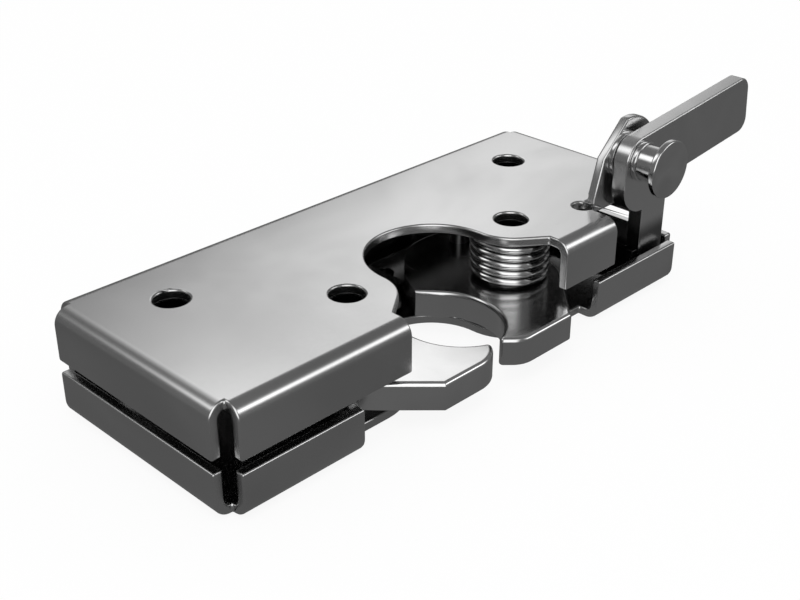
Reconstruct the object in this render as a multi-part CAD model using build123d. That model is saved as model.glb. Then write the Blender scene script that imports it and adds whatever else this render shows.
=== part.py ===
from build123d import *
import os
from math import acos, asin, atan2, cos, degrees, hypot, radians, sin, sqrt, tan

# Double rotary latch of pressed steel. Millimetres, +Z up, +X to the lever's end,
# -Y towards the striker. The origin is midway between the two jaw pivots, on the
# mounting face under the bottom plate.

# Case: two plates with bent rims, mouth to mouth
case_length = 124.0
case_depth = 50.0
case_height = 21.4
sheet = 2.0
bend_inner_r = 1.1
corner_relief = 3.3
bottom_rim_height = 9.0
top_rim_height = 10.1
edge_break = 0.25

# Holes: the front pair lies on the jaw pivots
hole_r = 3.3
pivot_spacing = 44.2
pivot_to_front = 15.3
back_hole_spacing = 90.0
back_hole_to_front = 35.6

# Striker mouths: lobes round the pivots run into a round throat between them
top_lobe_r = 9.1
top_lobe_sweep = 53.0
top_mouth_half = 21.1
bottom_mouth_half = 32.4
rim_relief_depth = 4.7

# Ear for the lever, bent up from the top plate's front right corner
ear_to_front = 7.6
ear_foot_to_end = 23.1
ear_notch_to_end = 24.9
ear_relief_r = 2.1
ear_shoulder_left = 6.4
ear_shoulder_up = 0.8
ear_crown_right = 0.55
ear_round_r = 8.8
ear_round_below = 1.25
ear_root_r = 0.6

# Lever axis, along Y
lever_axis_to_end = 14.3
lever_axis_above_case = 8.4

# Lever: one flat blank
lever_thickness = 3.5
lever_hub_r = 5.02
handle_length = 39.1
handle_below = 7.5
handle_tilt = 5.8
handle_corner_r = 3.0
lever_shoulder_r = 6.45
lever_throat_r = 2.5
arm_left = 2.0
arm_right = 10.2
foot_above_floor = 3.4
foot_left_corner_r = 0.8
foot_right_corner_r = 3.0

# Lever stud, washer and ring
stud_r = 3.75
stud_exposed = 5.4
stud_head_r = 5.95
stud_head_thickness = 1.5
stud_head_edge_r = 0.4
stud_tail_r = 2.5
rivet_head_r = 3.8
rivet_head_thickness = 0.9
lever_washer_r = 5.2
lever_washer_thickness = 1.0
ring_r = 4.15
ring_width = 1.1

# Jaws: thick blanks that turn on bushes
jaw_thickness = 5.7
jaw_above_floor = 1.7
jaw_hub_r = 10.7
recess_r = 12.4
recess_past_middle = 3.0
recess_behind = 4.1
jaw_side_angle = 45.0
left_claw_reach = 19.8
left_claw_nose_r = 7.6
left_claw_recess_angle = -69.8
right_claw_reach = 19.7
right_claw_recess_angle = -63.6
right_claw_tip = (0.35, -16.1)
right_claw_facet_angle = 45.0
right_claw_facet_r = 5.5
claw_tip_r = 0.8
claw_side_corner_r = 0.5
jaw_rolled_edge_r = 0.9
jaw_low_edge_r = 0.4
heel_tip = (3.2, 7.8)
heel_back = (6.9, 14.6)
heel_corner_r = 1.2
notch_bottom = (9.5, 13.3)
step_top = (10.2, 17.8)
back_edge_middle = (15.0, 21.7)
jaw_lobe_r = 24.0
jaw_lobe_start = 96.2
jaw_lobe_end = 68.0
jaw_lobe_corner_r = 3.0

# Bushes, washers and spacers on the four holes
bush_r = 6.0
jaw_washer_r = 9.0
spacer_r = 4.5

# Jaw springs: coils round the bushes, with one leg on a peg and one on a spacer
jaw_wire = 1.7
jaw_coil_r = 7.2
jaw_coil_whole_turns = 4
spring_leg_past = 3.0
spring_leg_root = 0.2
spring_leg_inset = 0.03
spring_seat_gap = 0.1
peg_r = 2.0
peg_up = 17.4
peg_height = 3.2

# Lock pawl, its key on the back rim and its drive pin
pawl_thickness = 2.8
pawl_front = 15.9
pawl_depth = 10.5
pawl_half_width = 8.6
pawl_nose = 3.4
pawl_nose_half_width = 4.0
pawl_slot_front_wall = 1.9
pawl_corner_r = 0.5
pawl_travel = 6.0
key_half_width = 1.75
drive_pin_r = 1.75
drive_pin_x = 5.4
drive_pin_y = 20.0

# Release slide on the floor, under jaws and pawl
slide_thickness = 1.5
slide_travel = 7.3
slide_back = 30.4
slide_strip_front = 24.3
slide_cam_front = 16.6
slide_cam_left = 1.9
slide_cam_right = 16.6
slide_bridge_left = 33.5
slide_web_width = 4.5
slide_bridge_front = 9.5
slide_fork_end = 55.0
slide_leg_right = 57.5
slide_leg_front_gap = 1.3
tab_height = 7.3
tab_width = 5.0
tab_bend_r = 1.2
guide_neck_r = 1.5
guide_head_r = 3.0
guide_head_height = 5.0
guide_x = 26.0

# Return spring between the guide stud and the slide's end tab
return_wire = 0.7
return_coil_r = 1.85
return_turns = 11

# Clearances
running_gap = 0.05
face_gap = 0.1
slot_gap = 0.1
side_gap = 0.3

# Cutters reach this far past what they cut
cut_margin = 1.0

# Places worked out from the sizes above
bend_outer_r = sheet + bend_inner_r
end_x = case_length / 2
front_y = -pivot_to_front
back_y = front_y + case_depth
pivot_x = pivot_spacing / 2
back_hole_x = back_hole_spacing / 2
back_hole_y = front_y + back_hole_to_front
roof_z = case_height - sheet
bottom_lobe_r = pivot_to_front - rim_relief_depth
ear_front_y = front_y + ear_to_front
ear_back_y = ear_front_y + sheet
ear_foot_x = end_x - ear_foot_to_end
ear_right_x = end_x - corner_relief
ear_notch_x = end_x - ear_notch_to_end
ear_notch_y = ear_front_y + bend_outer_r / 2
axis_x = end_x - lever_axis_to_end
axis_z = case_height + lever_axis_above_case
lever_back_y = ear_front_y - lever_washer_thickness - running_gap
lever_front_y = lever_back_y - lever_thickness
jaw_z = sheet + jaw_above_floor
jaw_top_z = jaw_z + jaw_thickness
slide_z = sheet + face_gap
slide_top_z = slide_z + slide_thickness
pawl_z = slide_top_z + face_gap
pawl_back = pawl_front + pawl_depth
strip_middle_y = (slide_strip_front + slide_back) / 2


def block(x_span, y_span, z_span):
    """Box between two limits on each axis."""
    size = [max(span) - min(span) for span in (x_span, y_span, z_span)]
    centre = [sum(span) / 2 for span in (x_span, y_span, z_span)]
    return Pos(*centre) * Box(*size)


def rod(x, y, z_span, radius):
    """Round bar along Z."""
    return Pos(x, y, sum(z_span) / 2) * Cylinder(radius, max(z_span) - min(z_span))


def cross_rod(y_span, radius):
    """Round bar along Y on the lever's axis."""
    bar = Cylinder(radius, max(y_span) - min(y_span), rotation=(90, 0, 0))
    return Pos(axis_x, sum(y_span) / 2, axis_z) * bar


def polar(centre, radius, angle):
    """Point at an angle in degrees on a circle."""
    return (centre[0] + radius * cos(radians(angle)), centre[1] + radius * sin(radians(angle)))


def eased(blank):
    """Break the edges of a flat blank's two faces."""
    levels = blank.edges().group_by(Axis.Z)
    return chamfer(levels[0] + levels[-1], edge_break)


def rimmed_plate(rim_height):
    """Pressed plate with its flat at the bottom and rims on four sides."""
    outer = block((-end_x, end_x), (front_y, back_y), (0, rim_height))
    outer = fillet(outer.edges().group_by(Axis.Z)[0], bend_outer_r)
    inner_x = end_x - sheet
    inner = block((-inner_x, inner_x), (front_y + sheet, back_y - sheet), (sheet, 2 * rim_height))
    inner = fillet(inner.edges().group_by(Axis.Z)[0], bend_inner_r)
    plate = outer - inner
    front_span = (front_y - sheet, front_y + corner_relief)
    back_span = (back_y - corner_relief, back_y + sheet)
    for side in (-1, 1):
        x_span = (side * (end_x - corner_relief), side * (end_x + sheet))
        for y_span in (front_span, back_span):
            plate -= block(x_span, y_span, (-sheet, 2 * rim_height))
    return plate


def mounting_holes(z_span):
    places = [(side * pivot_x, 0) for side in (-1, 1)]
    places += [(side * back_hole_x, back_hole_y) for side in (-1, 1)]
    return [rod(x, y, z_span, hole_r) for x, y in places]


def mouth(lobe_r, lobe_end, mouth_half, z_span):
    """Striker mouth: a round throat between two lobes, open to the front."""
    throat_r = pivot_x - lobe_r
    ahead = front_y - sheet
    left = (-pivot_x, 0)
    lobe_foot = polar(left, lobe_r, lobe_end)
    lobe_middle = polar(left, lobe_r, lobe_end / 2)
    lip_slope = -1 / tan(radians(lobe_end))
    lip = (-mouth_half, lobe_foot[1] - (mouth_half + lobe_foot[0]) * lip_slope)
    side = [Line((-mouth_half, ahead), lip), Line(lip, lobe_foot),
            ThreePointArc(lobe_foot, lobe_middle, (-throat_r, 0))]
    other_side = [mirror(edge, about=Plane.YZ) for edge in side]
    throat = ThreePointArc((-throat_r, 0), (0, throat_r), (throat_r, 0))
    front = Line((-mouth_half, ahead), (mouth_half, ahead))
    face = make_face(Curve() + side + other_side + [throat, front])
    return extrude(Plane.XY.offset(min(z_span)) * face, amount=max(z_span) - min(z_span))


def make_bottom_plate():
    """Bottom plate: its lobes reach forward to the line where the front rim was cut away."""
    plate = rimmed_plate(bottom_rim_height)
    plate -= mouth(bottom_lobe_r, -90, bottom_mouth_half, (-sheet, 2 * bottom_rim_height))
    for hole in mounting_holes((-sheet, 2 * sheet)):
        plate -= hole
    return plate


def make_ear():
    """Ear for the lever, turned up square from the top plate with a small round inside."""
    round_centre = (ear_right_x - ear_round_r, axis_z - ear_round_below)
    crown_x = axis_x + ear_crown_right
    crown_angle = degrees(acos((crown_x - round_centre[0]) / ear_round_r))
    crown = polar(round_centre, ear_round_r, crown_angle)
    round_middle = polar(round_centre, ear_round_r, crown_angle / 2)
    side = (ear_right_x, round_centre[1])
    shoulder = (axis_x - ear_shoulder_left, axis_z + ear_shoulder_up)
    foot_left = (ear_foot_x, case_height + bend_inner_r)
    root_left = (ear_foot_x, roof_z)
    root_right = (ear_right_x, roof_z)
    outline = Curve() + [Line(root_right, root_left), Line(root_left, foot_left), Line(foot_left, shoulder),
                         Line(shoulder, crown), ThreePointArc(crown, round_middle, side),
                         Line(side, root_right)]
    flat = extrude(Plane.XZ.offset(-ear_back_y) * make_face(outline), amount=sheet)
    front_root = flat.edges().filter_by(Axis.X).group_by(Axis.Z)[0].sort_by(Axis.Y)[0]
    flat = fillet(front_root, ear_root_r)
    x_span = (ear_foot_x, ear_right_x)
    inner_y = ear_back_y + bend_inner_r
    inner_z = case_height + bend_inner_r
    web = block(x_span, (ear_back_y, inner_y), (roof_z, inner_z))
    hollow = Cylinder(bend_inner_r, ear_right_x - ear_foot_x + 2 * cut_margin, rotation=(0, 90, 0))
    return flat + (web - Pos(sum(x_span) / 2, inner_y, inner_z) * hollow)


def make_top_plate():
    plate = rimmed_plate(top_rim_height)
    plate = Pos(0, 0, case_height) * mirror(plate, about=Plane.XY)
    z_span = (0, 2 * case_height)
    plate -= mouth(top_lobe_r, -top_lobe_sweep, top_mouth_half, z_span)
    plate -= block((ear_notch_x, end_x + sheet), (front_y - sheet, ear_back_y), z_span)
    plate -= block((ear_right_x, end_x + sheet), (front_y - sheet, ear_front_y + bend_outer_r), z_span)
    plate += make_ear()
    plate -= rod(ear_notch_x, ear_notch_y, z_span, ear_relief_r)
    plate -= cross_rod((ear_front_y - cut_margin, ear_back_y + cut_margin), stud_tail_r)
    for hole in mounting_holes((roof_z - sheet, case_height + sheet)):
        plate -= hole
    return plate


def claw_edges(reach, recess_start, side_corner, tip):
    """Edges of a claw from the side's corner along the front to the recess."""
    if tip == "round":
        rise = reach + recess_start[1]
        nose_start = (recess_start[0] + sqrt(rise * (2 * left_claw_nose_r - rise)), -reach)
        return [Line(side_corner, nose_start), RadiusArc(nose_start, recess_start, left_claw_nose_r)]
    facet_end = facet_corner(reach)
    return [Line(side_corner, facet_end), Line(facet_end, right_claw_tip), Line(right_claw_tip, recess_start)]


def facet_corner(reach):
    """Point where the right claw's facet meets its front line."""
    depth = reach + right_claw_tip[1]
    return (right_claw_tip[0] + depth / tan(radians(right_claw_facet_angle)), -reach)


def facet_round(reach):
    """Radius between facet and front line, as large as the facet leaves room for."""
    facet_length = (reach + right_claw_tip[1]) / sin(radians(right_claw_facet_angle))
    room = facet_length - 2 * claw_tip_r
    return min(right_claw_facet_r, room / tan(radians(right_claw_facet_angle / 2)))


def make_jaw(reach, recess_start_angle, tip):
    """Right-hand jaw; the left one is this shape in a mirror with its own claw tip."""
    recess_centre = (-recess_past_middle, -recess_behind)
    heel_x = heel_tip[0] + recess_past_middle
    heel_y = heel_tip[1] + recess_behind
    recess_end_angle = degrees(atan2(heel_y, heel_x) - acos(recess_r / hypot(heel_x, heel_y)))
    recess_start = polar(recess_centre, recess_r, recess_start_angle)
    recess_middle = polar(recess_centre, recess_r, (recess_start_angle + recess_end_angle) / 2)
    recess_end = polar(recess_centre, recess_r, recess_end_angle)
    pivot = (pivot_x, 0)
    side_touch = polar(pivot, jaw_hub_r, -jaw_side_angle)
    side_corner = (side_touch[0] - side_touch[1] - reach, -reach)
    lobe_start = polar(pivot, jaw_lobe_r, jaw_lobe_start)
    lobe_middle = polar(pivot, jaw_lobe_r, (jaw_lobe_start + jaw_lobe_end) / 2)
    lobe_end = polar(pivot, jaw_lobe_r, jaw_lobe_end)
    back_touch_angle = jaw_lobe_end - degrees(acos(jaw_hub_r / jaw_lobe_r))
    back_touch = polar(pivot, jaw_hub_r, back_touch_angle)
    hub_middle = polar(pivot, jaw_hub_r, (back_touch_angle - jaw_side_angle) / 2)
    outline = Curve() + claw_edges(reach, recess_start, side_corner, tip)
    outline += [ThreePointArc(recess_start, recess_middle, recess_end),
                Line(recess_end, heel_tip), Line(heel_tip, heel_back), Line(heel_back, notch_bottom),
                Line(notch_bottom, step_top), ThreePointArc(step_top, back_edge_middle, lobe_start),
                ThreePointArc(lobe_start, lobe_middle, lobe_end), Line(lobe_end, back_touch),
                ThreePointArc(back_touch, hub_middle, side_touch), Line(side_touch, side_corner)]
    face = make_face(outline)
    face = rounded(face, heel_back, heel_corner_r)
    face = rounded(face, lobe_end, jaw_lobe_corner_r)
    face = rounded(face, side_corner, claw_side_corner_r)
    if tip == "round":
        face = rounded(face, recess_start, claw_tip_r)
    else:
        face = rounded(face, facet_corner(reach), facet_round(reach))
        face = rounded(face, right_claw_tip, claw_tip_r)
    blank = extrude(Plane.XY.offset(jaw_z) * face, amount=jaw_thickness)
    top_edges = blank.faces().sort_by(Axis.Z)[-1].edges()
    blank = fillet([edge for edge in top_edges if edge.center().Y < 0], jaw_rolled_edge_r)
    blank = fillet(blank.faces().sort_by(Axis.Z)[0].edges(), jaw_low_edge_r)
    return blank - rod(pivot_x, 0, (0, case_height), bush_r + running_gap)


def rounded(face, point, radius):
    """Round the corner of a face that lies nearest to a point."""
    corner = face.vertices().sort_by_distance((point[0], point[1], 0))[0]
    return fillet(corner, radius)


def spring_leg(start, direction, length, z):
    """Straight leg of spring wire; its root is let into the coil's end."""
    root = (start[0] - spring_leg_root * direction[0], start[1] - spring_leg_root * direction[1], z)
    plane = Plane(origin=root, z_dir=(direction[0], direction[1], 0))
    return extrude(plane * Circle(jaw_wire / 2 - spring_leg_inset), amount=length + spring_leg_root)


def make_jaw_spring():
    """Right-hand jaw spring: a coil round the bush, wound clockwise as it rises."""
    low_z = jaw_top_z + spring_seat_gap + jaw_wire / 2
    high_z = roof_z - spring_seat_gap - jaw_wire / 2
    span = hypot(back_hole_x - pivot_x, back_hole_y)
    bearing = degrees(asin(back_hole_y / span))
    leg_offset = spacer_r + jaw_wire / 2 + running_gap
    leg_bearing = bearing - degrees(asin((jaw_coil_r - leg_offset) / span))
    leave_angle = leg_bearing + 90
    turns = jaw_coil_whole_turns + (360 - leave_angle) / 360
    pitch = (high_z - low_z) / turns
    helix = Helix(pitch, high_z - low_z, jaw_coil_r, center=(pivot_x, 0, low_z), lefthand=True)
    section = Plane(origin=helix @ 0, z_dir=helix % 0) * Circle(jaw_wire / 2)
    coil = sweep(section, path=helix, is_frenet=True)
    low_leg = spring_leg((pivot_x + jaw_coil_r, 0), (0, 1), peg_up + spring_leg_past, low_z)
    leg_direction = polar((0, 0), 1, leg_bearing)
    high_start = polar((pivot_x, 0), jaw_coil_r, leave_angle)
    high_leg = spring_leg(high_start, leg_direction, span + spring_leg_past, high_z)
    return coil + low_leg + high_leg


def on_handle(along, across):
    """Point of the lever's blank in the handle's own directions, from the axis."""
    tilt = radians(handle_tilt)
    return (along * cos(tilt) - across * sin(tilt), along * sin(tilt) + across * cos(tilt))


def make_lever():
    """Flat lever: hub, handle to the right and an arm down into the case."""
    hub_top = on_handle(0, lever_hub_r)
    end_top = on_handle(handle_length, lever_hub_r)
    end_low = on_handle(handle_length, -handle_below)
    tilt = radians(handle_tilt)
    throat = (arm_right, (arm_right * sin(tilt) - handle_below) / cos(tilt))
    foot_z = sheet + foot_above_floor - axis_z
    foot_left = (arm_left, foot_z)
    foot_right = (arm_right, foot_z)
    shoulder_centre = (lever_shoulder_r - lever_hub_r, -lever_hub_r)
    shoulder_left = (-lever_hub_r, -lever_hub_r)
    shoulder_middle = polar(shoulder_centre, lever_shoulder_r, 225)
    shoulder_low = polar(shoulder_centre, lever_shoulder_r, 270)
    arm_top = (arm_left, shoulder_low[1])
    hub_left = (-lever_hub_r, 0)
    outline = Curve() + [
        ThreePointArc(hub_left, polar((0, 0), lever_hub_r, 135), hub_top),
        Line(hub_top, end_top), Line(end_top, end_low), Line(end_low, throat),
        Line(throat, foot_right), Line(foot_right, foot_left), Line(foot_left, arm_top),
        Line(arm_top, shoulder_low), ThreePointArc(shoulder_low, shoulder_middle, shoulder_left),
        Line(shoulder_left, hub_left)]
    face = make_face(outline)
    face = rounded(face, end_top, handle_corner_r)
    face = rounded(face, end_low, handle_corner_r)
    face = rounded(face, throat, lever_throat_r)
    face = rounded(face, foot_right, foot_right_corner_r)
    face = rounded(face, foot_left, foot_left_corner_r)
    blank = eased(extrude(face, amount=lever_thickness))
    blank = Pos(axis_x, lever_back_y, axis_z) * (Rot(90, 0, 0) * blank)
    return blank - cross_rod((lever_front_y - cut_margin, lever_back_y + cut_margin), stud_r + running_gap)


def make_stud():
    """Lever stud: head, shank and a thinner tail riveted over behind the ear."""
    head_back_y = lever_front_y - stud_exposed
    head_front_y = head_back_y - stud_head_thickness
    head = cross_rod((head_front_y, head_back_y), stud_head_r)
    head = fillet(head.edges().filter_by(GeomType.CIRCLE), stud_head_edge_r)
    shank = cross_rod((head_back_y, ear_front_y), stud_r)
    tail = cross_rod((ear_front_y, ear_back_y), stud_tail_r)
    rivet = cross_rod((ear_back_y, ear_back_y + rivet_head_thickness), rivet_head_r)
    rivet = chamfer(rivet.edges().group_by(Axis.Y)[-1], rivet_head_thickness / 2)
    return head + shank + tail + rivet


def make_lever_washer():
    ring = cross_rod((ear_front_y - lever_washer_thickness, ear_front_y), lever_washer_r)
    return ring - cross_rod((lever_back_y, ear_back_y), stud_r + running_gap)


def make_retaining_ring():
    back = lever_front_y - running_gap
    ring = cross_rod((back - ring_width, back), ring_r)
    ring = chamfer(ring.edges().group_by(Axis.Y)[0], edge_break)
    return ring - cross_rod((back - 2 * ring_width, back + ring_width), stud_r)


def make_pawl():
    """Lock pawl: a plate between the jaws' steps, with a key slot open to the back."""
    through = (0, case_height)
    z_span = (pawl_z, pawl_z + pawl_thickness)
    body = block((-pawl_half_width, pawl_half_width), (pawl_front, pawl_back), z_span)
    front_corners = body.edges().filter_by(Axis.Z).group_by(Axis.Y)[0]
    body = fillet(front_corners, pawl_corner_r)
    nose_front = pawl_front - pawl_nose
    nose_y = (nose_front, pawl_front + cut_margin)
    body += block((-pawl_nose_half_width, pawl_nose_half_width), nose_y, z_span)
    slot_half = key_half_width + slot_gap
    slot_y = (nose_front + pawl_slot_front_wall, pawl_back + cut_margin)
    body -= block((-slot_half, slot_half), slot_y, through)
    return body - rod(drive_pin_x, drive_pin_y, through, drive_pin_r)


def make_pawl_key():
    """Key welded inside the back rim; the pawl's slot runs on it."""
    front = pawl_front - pawl_nose + pawl_slot_front_wall + pawl_travel + side_gap
    z_span = (pawl_z + face_gap, pawl_z + pawl_thickness)
    return block((-key_half_width, key_half_width), (front, back_y - sheet), z_span)


def slot_cutter(start, end, half_width, z_span):
    """Straight slot with round ends between two points."""
    length = hypot(end[0] - start[0], end[1] - start[1])
    middle = ((start[0] + end[0]) / 2, (start[1] + end[1]) / 2)
    turn = degrees(asin((end[1] - start[1]) / length))
    height = max(z_span) - min(z_span)
    ends = rod(*start, z_span, half_width) + rod(*end, z_span, half_width)
    bar = Pos(*middle, sum(z_span) / 2) * Rot(0, 0, turn) * Box(length, 2 * half_width, height)
    return ends + bar


def upright_tab(x_span, y_span, slide_side):
    """Tab bent up from the slide; slide_side is the side on which the slide's flat lies."""
    z_span = (slide_z, slide_z + tab_height)
    tab = block(x_span, y_span, z_span)
    low_edges = tab.edges().filter_by(Axis.Y).group_by(Axis.Z)[0].sort_by(Axis.X)
    outer_edge = low_edges[0] if slide_side > 0 else low_edges[-1]
    return fillet(outer_edge, tab_bend_r)


def make_slide():
    """Release slide: cam slot under the pawl, fork round the spacer, tabs at foot and spring."""
    z_span = (slide_z, slide_top_z)
    through = (0, case_height)
    tab_right = axis_x + arm_left - side_gap
    tab_left = tab_right - slide_thickness
    bridge_right = slide_bridge_left + slide_web_width
    leg_front = front_y + sheet + slide_leg_front_gap
    fork_half = spacer_r + side_gap
    fork_y = (back_hole_y + fork_half, slide_back)
    bridge_back = back_hole_y - fork_half
    slide = block((slide_cam_left, slide_cam_right), (slide_cam_front, slide_back), z_span)
    slide += block((slide_cam_left, bridge_right), (slide_strip_front, slide_back), z_span)
    slide += block((slide_bridge_left, bridge_right), (slide_bridge_front, slide_back), z_span)
    slide += block((slide_bridge_left, slide_leg_right), (slide_bridge_front, bridge_back), z_span)
    slide += block((slide_bridge_left, slide_fork_end - tab_bend_r), fork_y, z_span)
    slide += block((tab_left + tab_bend_r, slide_leg_right), (leg_front, bridge_back), z_span)
    slide += upright_tab((tab_left, tab_right), (leg_front, leg_front + tab_width), 1)
    slide += upright_tab((slide_fork_end - slide_thickness, slide_fork_end), fork_y, -1)
    cam_start = (drive_pin_x, drive_pin_y)
    cam_end = (drive_pin_x + slide_travel, drive_pin_y + pawl_travel)
    slide -= slot_cutter(cam_start, cam_end, drive_pin_r + slot_gap, through)
    guide_start = (guide_x - side_gap, strip_middle_y)
    guide_end = (guide_x + slide_travel + side_gap, strip_middle_y)
    return slide - slot_cutter(guide_start, guide_end, guide_neck_r + slot_gap, through)


def make_slide_guide():
    """Headed stud riveted in the floor; the slide runs under its head."""
    head_z = slide_top_z + face_gap
    neck = rod(guide_x, strip_middle_y, (sheet, head_z), guide_neck_r)
    return neck + rod(guide_x, strip_middle_y, (head_z, head_z + guide_head_height), guide_head_r)


def make_return_spring():
    """Compression spring from the guide stud's head to the slide's end tab."""
    start = guide_x + guide_head_r + running_gap
    end = slide_fork_end - slide_thickness - running_gap
    length = end - start - return_wire
    axis_height = slide_top_z + face_gap + return_coil_r + return_wire / 2
    helix = Helix(length / return_turns, length, return_coil_r)
    section = Plane(origin=helix @ 0, z_dir=helix % 0) * Circle(return_wire / 2)
    coil = sweep(section, path=helix, is_frenet=True)
    coil = Pos(start + return_wire / 2, strip_middle_y, axis_height) * (Rot(0, 90, 0) * coil)
    end_ring = Torus(return_coil_r, return_wire / 2, rotation=(0, 90, 0))
    for x in (start + return_wire / 2, end - return_wire / 2):
        coil += Pos(x, strip_middle_y, axis_height) * end_ring
    return coil


def make_round_parts():
    """Bush, washer, peg and spacer of the right-hand side."""
    z_span = (sheet, roof_z)
    through = (0, case_height)
    bush = rod(pivot_x, 0, z_span, bush_r) - rod(pivot_x, 0, through, hole_r)
    washer = rod(pivot_x, 0, (sheet, jaw_z - face_gap), jaw_washer_r)
    washer -= rod(pivot_x, 0, through, bush_r + running_gap)
    spacer = rod(back_hole_x, back_hole_y, z_span, spacer_r)
    spacer -= rod(back_hole_x, back_hole_y, through, hole_r)
    peg_x = pivot_x + jaw_coil_r - jaw_wire / 2 - running_gap - peg_r
    peg = rod(peg_x, peg_up, (jaw_top_z, jaw_top_z + peg_height), peg_r)
    return {"jaw_bush": bush, "jaw_washer": washer, "back_spacer": spacer, "spring_peg": peg}


def in_mirror(shape):
    return mirror(shape, about=Plane.YZ)


os.makedirs("parts", exist_ok=True)
nodes = {
    "bottom_plate": make_bottom_plate(),
    "top_plate": make_top_plate(),
    "right_jaw": make_jaw(right_claw_reach, right_claw_recess_angle, "facet"),
    "left_jaw": in_mirror(make_jaw(left_claw_reach, left_claw_recess_angle, "round")),
    "lock_pawl": make_pawl(),
    "pawl_key": make_pawl_key(),
    "pawl_drive_pin": rod(drive_pin_x, drive_pin_y, (slide_z, pawl_z + pawl_thickness), drive_pin_r),
    "release_slide": make_slide(),
    "slide_guide_stud": make_slide_guide(),
    "slide_return_spring": make_return_spring(),
    "release_lever": make_lever(),
    "lever_pivot_stud": make_stud(),
    "lever_washer": make_lever_washer(),
    "lever_retaining_ring": make_retaining_ring(),
}
jaw_spring = make_jaw_spring()
nodes["right_jaw_spring"] = jaw_spring
nodes["left_jaw_spring"] = in_mirror(jaw_spring)
for name, piece in make_round_parts().items():
    nodes["right_" + name] = piece
    nodes["left_" + name] = in_mirror(piece)
for name, piece in nodes.items():
    export_step(piece, f"parts/{name}.step")
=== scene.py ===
import math

import bpy
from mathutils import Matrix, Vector


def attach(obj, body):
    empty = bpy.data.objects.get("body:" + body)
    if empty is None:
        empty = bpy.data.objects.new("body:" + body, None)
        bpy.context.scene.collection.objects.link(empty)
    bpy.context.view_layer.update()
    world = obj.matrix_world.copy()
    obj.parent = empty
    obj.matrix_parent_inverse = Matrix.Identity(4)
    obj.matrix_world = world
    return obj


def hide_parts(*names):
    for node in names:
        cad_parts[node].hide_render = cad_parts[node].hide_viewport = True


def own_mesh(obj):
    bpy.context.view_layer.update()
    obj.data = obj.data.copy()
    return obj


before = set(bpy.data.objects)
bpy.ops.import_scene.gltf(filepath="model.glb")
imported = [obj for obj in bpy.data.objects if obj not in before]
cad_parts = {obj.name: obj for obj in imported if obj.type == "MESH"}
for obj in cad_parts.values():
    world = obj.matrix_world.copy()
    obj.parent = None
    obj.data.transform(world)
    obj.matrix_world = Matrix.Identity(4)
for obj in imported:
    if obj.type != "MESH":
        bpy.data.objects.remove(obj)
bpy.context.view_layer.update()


# Camera: it stands about 20 cm off the left front corner, a little above the latch, and looks down
# on it. The lens is a short telephoto on a 36 mm wide film, and everything stays sharp.
eye = Vector((-0.1539, -0.1444, 0.1253))
line_of_sight = Vector((0.6237, 0.6212, -0.4745))
lens_mm = 56.72
film_width_mm = 36.0
nearest_seen = 0.01
farthest_seen = 20.0

camera = bpy.data.objects.new("photo_camera", bpy.data.cameras.new("photo_camera"))
bpy.context.scene.collection.objects.link(camera)
camera.data.sensor_width = film_width_mm
camera.data.lens = lens_mm
camera.data.clip_start = nearest_seen
camera.data.clip_end = farthest_seen
camera.location = eye
camera.rotation_mode = "QUATERNION"
camera.rotation_quaternion = line_of_sight.to_track_quat("-Z", "Y")
bpy.context.scene.camera = camera


# White surround: plain paper stands all round the latch. The lens sees it at a strength of 1, and
# the metal would too, but for the tent below. What it sheds on the table is a little less.
ambient_tone = 0.9


class Value:
    """One output of a shader node. Sums and products of Values add the Math nodes for them."""

    def __init__(self, recipe, socket):
        self.recipe = recipe
        self.socket = socket

    def _math(self, operation, first, second):
        return self.recipe.add("Math", {"operation": operation}, {0: first, 1: second})["Value"]

    def __add__(self, other):
        return self._math("ADD", self, other)

    def __sub__(self, other):
        return self._math("SUBTRACT", self, other)

    def __mul__(self, other):
        return self._math("MULTIPLY", self, other)

    def __rsub__(self, other):
        return self._math("SUBTRACT", other, self)

    def __abs__(self):
        return self._math("ABSOLUTE", self, 0.0)

    def step(self, low, high):
        """0 up to one level, 1 from another, and a soft slope between them."""
        ends = {"Value": self, "From Min": low, "From Max": high}
        return self.recipe.add("MapRange", {"interpolation_type": "SMOOTHSTEP"}, ends)["Result"]

    __radd__ = __add__
    __rmul__ = __mul__


class Recipe:
    """A node tree being filled."""

    def __init__(self, tree):
        tree.nodes.clear()
        self.tree = tree

    def add(self, kind, settings=None, sockets=None):
        """Makes one node: first its settings, then the values or links of its sockets. It returns
        the node's outputs by name."""
        node = self.tree.nodes.new("ShaderNode" + kind)
        for name, setting in (settings or {}).items():
            setattr(node, name, setting)
        for name, value in (sockets or {}).items():
            if isinstance(name, int):
                socket = node.inputs[name]
            else:
                socket = next(s for s in node.inputs if s.name == name and s.enabled)
            if isinstance(value, Value):
                self.tree.links.new(value.socket, socket)
            else:
                socket.default_value = value
        return {s.name: Value(self, s) for s in node.outputs if s.enabled}


def grey(tone):
    """A colour socket's value for one tone of grey."""
    return (tone, tone, tone, 1.0)


def seen_directly(recipe):
    """1 where the lens, a reflection or glass looks at a surface, 0 where it only lights others."""
    path = recipe.add("LightPath")
    return path["Is Camera Ray"] + path["Is Glossy Ray"] + path["Is Transmission Ray"]


bpy.context.scene.world = bpy.data.worlds.new("white_surround")
bpy.context.scene.world.use_nodes = True
surround = Recipe(bpy.context.scene.world.node_tree)
daylight = surround.add("Background", None, {"Color": grey(ambient_tone), "Strength": 1.0})
paper = surround.add("Background", None, {"Color": grey(1.0), "Strength": 1.0})
either = surround.add(
    "MixShader",
    None,
    {0: seen_directly(surround), 1: daylight["Background"], 2: paper["Background"]},
)
surround.add("OutputWorld", None, {"Surface": either["Shader"]})


# Floor: a pale matt table top, as white as the surround behind it. The latch stands just off it
# and leaves a faint soft shadow there.
floor_drop = 0.0004
floor_radius = 3.0
floor_tone = 0.92
shadow_share = 0.09
rim_steps = 96


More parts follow.
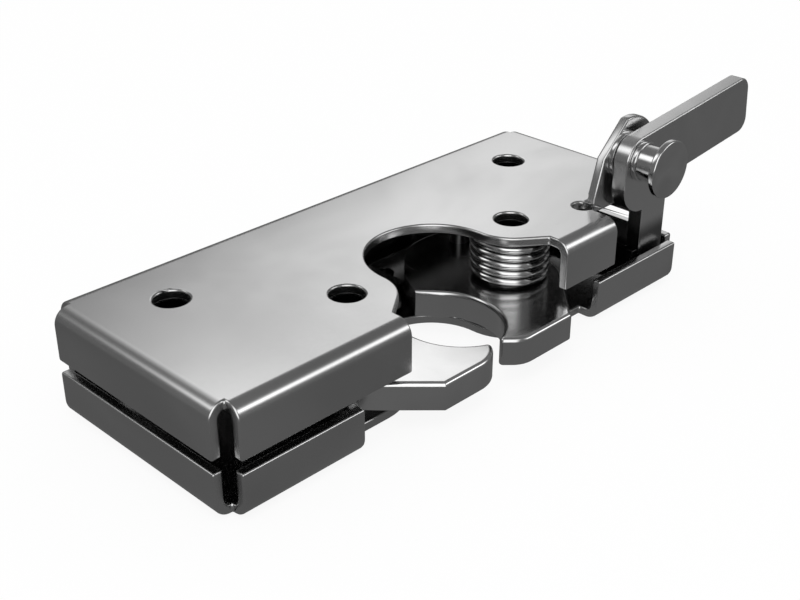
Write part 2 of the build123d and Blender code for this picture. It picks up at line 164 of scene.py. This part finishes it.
def new_material(name):
    """An empty material and the recipe that fills it."""
    material = bpy.data.materials.new(name)
    material.use_nodes = True
    return material, Recipe(material.node_tree)


def emission(recipe, tone):
    """Even light of one grey tone."""
    return recipe.add("Emission", None, {"Color": grey(tone), "Strength": 1.0})["Emission"]


def disc(name, inner, outer, heights, material):
    """A flat or dished ring of one material, from an inner to an outer radius and height."""
    turns = [math.tau * i / rim_steps for i in range(rim_steps)]
    points = [
        (radius * math.cos(turn), radius * math.sin(turn), height)
        for radius, height in ((inner, heights[0]), (outer, heights[1]))
        for turn in turns
    ]
    pairs = [(i, (i + 1) % rim_steps) for i in range(rim_steps)]
    faces = [(i, after, rim_steps + after, rim_steps + i) for i, after in pairs]
    if inner == 0.0:
        points = [(0.0, 0.0, heights[0])] + points[rim_steps:]
        faces = [(0, 1 + i, 1 + after) for i, after in pairs]
    mesh = bpy.data.meshes.new(name)
    mesh.from_pydata(points, [], faces)
    mesh.materials.append(material)
    ring = bpy.data.objects.new(name, mesh)
    bpy.context.scene.collection.objects.link(ring)
    return ring


floor_paint, recipe = new_material("pale_floor")
matt = recipe.add("BsdfDiffuse", None, {"Color": grey(floor_tone)})["BSDF"]
white = emission(recipe, 1.0)
share_of_white = seen_directly(recipe) * (1.0 - shadow_share)
either = recipe.add("MixShader", None, {0: share_of_white, 1: matt, 2: white})
recipe.add("OutputMaterial", None, {"Surface": either["Shader"]})
disc("floor", 0.0, floor_radius, (-floor_drop, -floor_drop), floor_paint)


# Tent: polished metal shows what stands round it, so a dark cloth tent hangs over the latch, and
# only the metal sees it. Light paper fills four soft-edged windows in it: one in front on the
# right, one behind on the right, one behind on the left, and a tall one on the lens's side.
tent_radius = 0.9
tent_tone = 0.17
tent_rings = 15
facing_from = (0.0, 0.3)


def mirrored_only(card):
    """Shows a card to the metal alone: the lens, the floor and the lamp's light pass it by."""
    card.visible_camera = False
    card.visible_diffuse = False
    card.visible_transmission = False
    card.visible_shadow = False


def paper_window(recipe, outward, tone, bearing, height, tilt, half_length, half_width):
    """The light of a window in the tent. Its place and tilt are in degrees, and so are its half
    sizes, each given where the paper is still full and where it ends."""
    bearing, height, tilt = (math.radians(angle) for angle in (bearing, height, tilt))
    level = Vector((-math.sin(bearing), math.cos(bearing), 0.0))
    middle = Vector((math.cos(bearing), math.sin(bearing), 0.0)) * math.cos(height)
    middle.z = math.sin(height)
    lengthways = level * math.cos(tilt) + middle.cross(level) * math.sin(tilt)
    crossways = middle.cross(lengthways)
    light = tone
    for way, half_size in ((lengthways, half_length), (crossways, half_width)):
        full, end = (math.sin(math.radians(angle)) for angle in half_size)
        offset = recipe.add("VectorMath", {"operation": "DOT_PRODUCT"}, {0: outward, 1: way})
        light = light * (1.0 - abs(offset["Value"]).step(full, end))
    facing = recipe.add("VectorMath", {"operation": "DOT_PRODUCT"}, {0: outward, 1: middle})
    return light * facing["Value"].step(*facing_from)


tent_cloth, recipe = new_material("tent_cloth")
place = recipe.add("TexCoord")["Object"]
outward = recipe.add("VectorMath", {"operation": "NORMALIZE"}, {0: place})["Vector"]
glow = tent_tone
for window in (
    # tone, bearing, height, tilt, half length and half width
    (2.2, -50, 31.5, -12, (12, 26), (2, 13)),
    (1.3, 51, 34.5, 35, (6, 48), (0, 14)),
    (1.6, 135, 44, 0, (3, 13), (7, 20)),
    (1.35, -135, 31, 0, (14, 32), (24, 38)),
):
    glow = glow + paper_window(recipe, outward, *window)
lit_cloth = recipe.add("Emission", None, {"Color": glow, "Strength": 1.0})["Emission"]
recipe.add("OutputMaterial", None, {"Surface": lit_cloth})
for i in range(tent_rings):
    low, high = (math.pi / 2 * step / tent_rings for step in (i, i + 1))
    radii = (tent_radius * math.cos(high), tent_radius * math.cos(low))
    heights = (tent_radius * math.sin(high), tent_radius * math.sin(low))
    mirrored_only(disc(f"tent_{i}", *radii, heights, tent_cloth))


# Table card: a plain dark card that lies round the latch, on the table and under the tent. It
# keeps the sides of the latch dark, and again only the metal sees it.
card_tone = 0.13
card_drop = 0.0002

card_paint, recipe = new_material("table_card")
recipe.add("OutputMaterial", None, {"Surface": emission(recipe, card_tone)})
mirrored_only(disc("table_card", 0.0, tent_radius, (-card_drop, -card_drop), card_paint))


# Lamp: one square soft box high on the left, which gives the latch its soft shadow on the table.
# The metal doesn't mirror it. Its power is worked out from the radiance of its face.
lamp_direction = Vector((-0.35, -0.25, 1.0))
lamp_distance = 1.0
lamp_size = 0.5
lamp_radiance = 2.4

lamp = bpy.data.lights.new("overhead_soft_box", "AREA")
lamp.shape = "SQUARE"
lamp.size = lamp_size
lamp.energy = lamp_radiance * math.pi * lamp_size * lamp_size
soft_box = bpy.data.objects.new("overhead_soft_box", lamp)
bpy.context.scene.collection.objects.link(soft_box)
soft_box.location = lamp_direction.normalized() * lamp_distance
soft_box.rotation_mode = "QUATERNION"
soft_box.rotation_quaternion = lamp_direction.to_track_quat("Z", "Y")
soft_box.visible_camera = False
soft_box.visible_glossy = False


# Bottom plate: pressed steel sheet with folded rims, bright plated, its cut edges tumbled round. It
# lies on the mounting face and carries the bushes, the spacers and the slide's stud. In the hollow
# between the two plates its colour is darkened with painted shade.
sheet_edge_round = 0.00045
edge_segments = 3
sharp_above = math.radians(50)
weld_reach = 0.000002
flat_within = math.radians(0.4)
grain_size = 0.0004
grain_depth = 0.000002
grain_in_polish = 0.04
grain_noise = {"Detail": 2.0, "Roughness": 0.5}
cloud_noise = {"Detail": 3.0, "Roughness": 0.45, "Distortion": 0.6}
cloud_span = (0.3, 0.7)
hollow = ((-0.0600, 0.0600), (-0.0133, 0.0327), (0.0018, 0.0196))
hollow_edge = 0.0002
inside_shade_share = 0.6

smooth_faces = bpy.data.node_groups.new("smooth_faces", "GeometryNodeTree")
for in_out in ("INPUT", "OUTPUT"):
    smooth_faces.interface.new_socket(
        "Geometry", in_out=in_out, socket_type="NodeSocketGeometry"
    )
faces_in = smooth_faces.nodes.new("NodeGroupInput")
set_smooth = smooth_faces.nodes.new("GeometryNodeSetShadeSmooth")
faces_out = smooth_faces.nodes.new("NodeGroupOutput")
smooth_faces.links.new(faces_in.outputs["Geometry"], set_smooth.inputs["Geometry"])
smooth_faces.links.new(set_smooth.outputs["Geometry"], faces_out.inputs["Geometry"])


def dress(node_name, material, edge_round=None, from_angle=sharp_above):
    """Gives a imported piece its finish, and rounds its cut edges where it has any to round."""
    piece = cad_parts[node_name]
    for slot in piece.material_slots:
        slot.material = material
    if edge_round is None:
        return
    weld = piece.modifiers.new("join_facets", "WELD")
    weld.merge_threshold = weld_reach
    flat = piece.modifiers.new("flat_faces", "DECIMATE")
    flat.decimate_type = "DISSOLVE"
    flat.angle_limit = flat_within
    rounded = piece.modifiers.new("rounded_edges", "BEVEL")
    rounded.limit_method = "ANGLE"
    rounded.angle_limit = from_angle
    rounded.width = edge_round
    rounded.segments = edge_segments
    rounded.use_clamp_overlap = False
    piece.modifiers.new("smooth_faces", "NODES").node_group = smooth_faces
    piece.modifiers.new("flat_faces_stay_flat", "WEIGHTED_NORMAL").mode = "FACE_AREA"


def painted_hollow_shade(recipe, along):
    """Full tone outside, and painted shade: darker in the hollow between the two plates."""
    inside = inside_shade_share
    for axis, (low, high) in zip("XYZ", hollow):
        inside = inside * along[axis].step(low, low + hollow_edge)
        inside = inside * (1.0 - along[axis].step(high - hollow_edge, high))
    return 1.0 - inside


def steel(name, tones, roughness, cloud_size, seed, grain=0.08, darkened=None):
    """Bright steel with soft clouds in its tone and polish and a very fine grain. What darkens it
    in places is a function of the recipe and the place."""
    material, recipe = new_material(name)
    place = recipe.add("TexCoord")["Object"]
    corner = (seed, 0.7 * seed, 0.3 * seed)
    shifted = recipe.add("Mapping", None, {"Vector": place, "Location": corner})["Vector"]
    cloud_sockets = {"Vector": shifted, "Scale": 1.0 / cloud_size, **cloud_noise}
    clouds = recipe.add("TexNoise", None, cloud_sockets)["Fac"]
    grain_sockets = {"Vector": shifted, "Scale": 1.0 / grain_size, **grain_noise}
    specks = recipe.add("TexNoise", None, grain_sockets)["Fac"]
    dark, bright = tones
    tone = dark + (bright - dark) * clouds.step(*cloud_span)
    if darkened:
        tone = tone * darkened(recipe, recipe.add("SeparateXYZ", None, {0: place}))
    dull, shiny = roughness
    polish = dull + (shiny - dull) * clouds + (specks - 0.5) * grain_in_polish
    relief_sockets = {"Strength": grain, "Distance": grain_depth, "Height": specks}
    relief = recipe.add("Bump", None, relief_sockets)["Normal"]
    metal_sockets = {"Base Color": tone, "Metallic": 1.0, "Roughness": polish, "Normal": relief}
    metal = recipe.add("BsdfPrincipled", None, metal_sockets)["BSDF"]
    recipe.add("OutputMaterial", None, {"Surface": metal})
    return material


# The sheet's colour has painted shade in the hollow between the two plates.
plate_finish = steel(
    "bright_plated_sheet",
    tones=(0.53, 0.69), roughness=(0.27, 0.20), cloud_size=0.045, seed=3.0, darkened=painted_hollow_shade,
)
dress("bottom_plate", plate_finish, sheet_edge_round)


# Top plate: the same plated sheet, folded down at the front, the left side and the back, with an
# ear turned up at the right for the lever's stud. It is riveted on the bushes and spacers.
dress("top_plate", plate_finish, sheet_edge_round)


# Jaws: two hooks of thick flat steel, fine blanked, with rolled upper edges and ground bright. Each
# turns on its own bush, and its tail under the top plate is darkened with painted shade.
jaw_edge_round = 0.00008
chamfer_above = math.radians(30)
tail_from = (0.0095, 0.0140)


def painted_tail_shade(recipe, along):
    """Full tone on the hooks, and painted shade on the tails under the top plate."""
    return 1.0 - inside_shade_share * along["Y"].step(*tail_from)


jaw_finish = steel(
    "ground_jaw_steel",
    tones=(0.66, 0.76), roughness=(0.20, 0.15), cloud_size=0.020, seed=8.0, darkened=painted_tail_shade,
)
for side in ("left", "right"):
    dress(side + "_jaw", jaw_finish, jaw_edge_round, chamfer_above)


# Bushes, washers and spacers: turned steel rings that the screws pass through. The jaws turn on the
# bushes and lie on the washers, and the spacers hold the plates apart at the back.
# Their colour has painted shade where they stand in the hollow between the plates.
turned_finish = steel(
    "turned_steel",
    tones=(0.62, 0.74), roughness=(0.17, 0.12), cloud_size=0.008, seed=5.0, darkened=painted_hollow_shade,
)
for side in ("left", "right"):
    for piece_name in ("_jaw_bush", "_jaw_washer", "_back_spacer"):
        dress(side + piece_name, turned_finish)


# Spring pegs: short steel pins pressed into the jaws' tails, where the springs' ends push on them.
# Their steel is painted dark: painted shade deep in the hollow.
peg_painted_shade_finish = steel(
    "peg_steel_painted_shade",
    tones=(0.12, 0.18), roughness=(0.34, 0.28), cloud_size=0.003, seed=4.0,
)
for side in ("left", "right"):
    dress(side + "_spring_peg", peg_painted_shade_finish)


# Jaw springs: torsion springs of bright hard-drawn wire, wound round the jaws' bushes. One end of
# each pushes on its jaw's peg and the other on a spacer. Painted shade darkens the grooves.
coil_axis_x = 0.0221
coil_groove = (0.0073, 0.0079)
groove_shade_share = 0.25


def painted_groove_shade(recipe, along):
    """Full tone on the outer side of the springs' turns, and painted shade in the grooves between
    them.
    """
    sideways = abs(along["X"]) - coil_axis_x
    from_axis = recipe.add("CombineXYZ", None, {"X": sideways, "Y": along["Y"]})["Vector"]
    away = recipe.add("VectorMath", {"operation": "LENGTH"}, {0: from_axis})["Value"]
    return groove_shade_share + (1.0 - groove_shade_share) * away.step(*coil_groove)


wire_finish = steel(
    "spring_wire",
    tones=(0.66, 0.78), roughness=(0.14, 0.10), cloud_size=0.004, seed=6.0, grain=0.0,
    darkened=painted_groove_shade,
)
for side in ("left", "right"):
    dress(side + "_jaw_spring", wire_finish)


# Return spring: a coil of thin bright wire between the guide stud's head and the slide's end tab,
# with a closed turn at each end. The tab squeezes it as the slide moves.
coil_from = 0.02905
coil_to = 0.05345
coil_axis_y = 0.02735
coil_axis_z = 0.0059
coil_radius = 0.00185
thin_wire_radius = 0.00035
open_turns = 11
closed_turns = 2
steps_a_turn = 28
steps_round_wire = 10

thin_wire_finish = steel(
    "thin_spring_wire",
    tones=(0.66, 0.78), roughness=(0.20, 0.14), cloud_size=0.004, seed=7.0, grain=0.0,
)
first_turn_x = coil_from + thin_wire_radius
last_turn_x = coil_to - thin_wire_radius
section_count = (open_turns + closed_turns) * steps_a_turn - 1
points, faces = [], []
for i in range(section_count):
    turn = (i + 1) / steps_a_turn
    share = min(max((turn - 1.0) / open_turns, 0.0), 1.0)
    angle = math.tau * turn
    for j in range(steps_round_wire):
        round_wire = math.tau * j / steps_round_wire
        reach = coil_radius + thin_wire_radius * math.cos(round_wire)
        points.append((
            first_turn_x + (last_turn_x - first_turn_x) * share
            + thin_wire_radius * math.sin(round_wire),
            coil_axis_y + reach * math.cos(angle),
            coil_axis_z + reach * math.sin(angle),
        ))
        if i:
            here, back = i * steps_round_wire, (i - 1) * steps_round_wire
            after = (j + 1) % steps_round_wire
            faces.append((back + j, here + j, here + after, back + after))
faces.append(tuple(range(steps_round_wire)))
last_section = (section_count - 1) * steps_round_wire
faces.append(tuple(reversed(range(last_section, last_section + steps_round_wire))))

return_coil = bpy.data.objects.new("return_coil", bpy.data.meshes.new("return_coil"))
return_coil.data.from_pydata(points, [], faces)
return_coil.data.shade_smooth()
return_coil.data.materials.append(thin_wire_finish)
bpy.context.scene.collection.objects.link(return_coil)
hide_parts("slide_return_spring")
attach(return_coil, "case")
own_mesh(return_coil)


# Locking parts: the steel pawl that props the jaws, the key on the back rim that it slides on, its
# drive pin, and the headed stud that guides the slide. The pin, key and stud are riveted in.
for node_name in ("lock_pawl", "pawl_key", "pawl_drive_pin", "slide_guide_stud"):
    dress(node_name, turned_finish)


# Release slide: a flat blank of the plated sheet that runs on the bottom plate, under the jaws. Its
# tab is bent up beside the lever's foot, and the rest of it is darkened with painted shade.
slide_edge_round = 0.00015
slide_shade_share = 0.88
tab_from = (0.0500, 0.0540)


def painted_slide_shade(recipe, along):
    """Full tone on the tab by the lever's foot, and painted shade where the slide runs under the
    jaws.
    """
    return 1.0 - slide_shade_share * (1.0 - along["X"].step(*tab_from))


slide_finish = steel(
    "slide_sheet_painted_shade",
    tones=(0.54, 0.66), roughness=(0.27, 0.20), cloud_size=0.045, seed=3.0, darkened=painted_slide_shade,
)
dress("release_slide", slide_finish, slide_edge_round)


# Release lever: blanked from flat bar, with a handle outside and an arm that reaches down into the
# case. The arm's foot rubs on the slide's tab, and painted shade darkens the foot's colour.
foot_height = (0.0120, 0.0160)
foot_shade_share = 0.75


def painted_foot_shade(recipe, along):
    """Full tone on the handle, and painted shade on the arm's foot."""
    return 1.0 - foot_shade_share * (1.0 - along["Z"].step(*foot_height))


lever_finish = steel(
    "blanked_lever_steel",
    tones=(0.62, 0.72), roughness=(0.27, 0.20), cloud_size=0.020, seed=9.0, darkened=painted_foot_shade,
)
dress("release_lever", lever_finish, jaw_edge_round, chamfer_above)


# Lever's stud, washer and ring: turned steel. The headed stud is riveted in the top plate's ear,
# with the washer behind the lever and the ring in front of it.
for node_name in ("lever_pivot_stud", "lever_washer", "lever_retaining_ring"):
    dress(node_name, turned_finish, jaw_edge_round, chamfer_above)


# Picture: the tones are shown as they are written.
bpy.context.scene.view_settings.view_transform = "Standard"
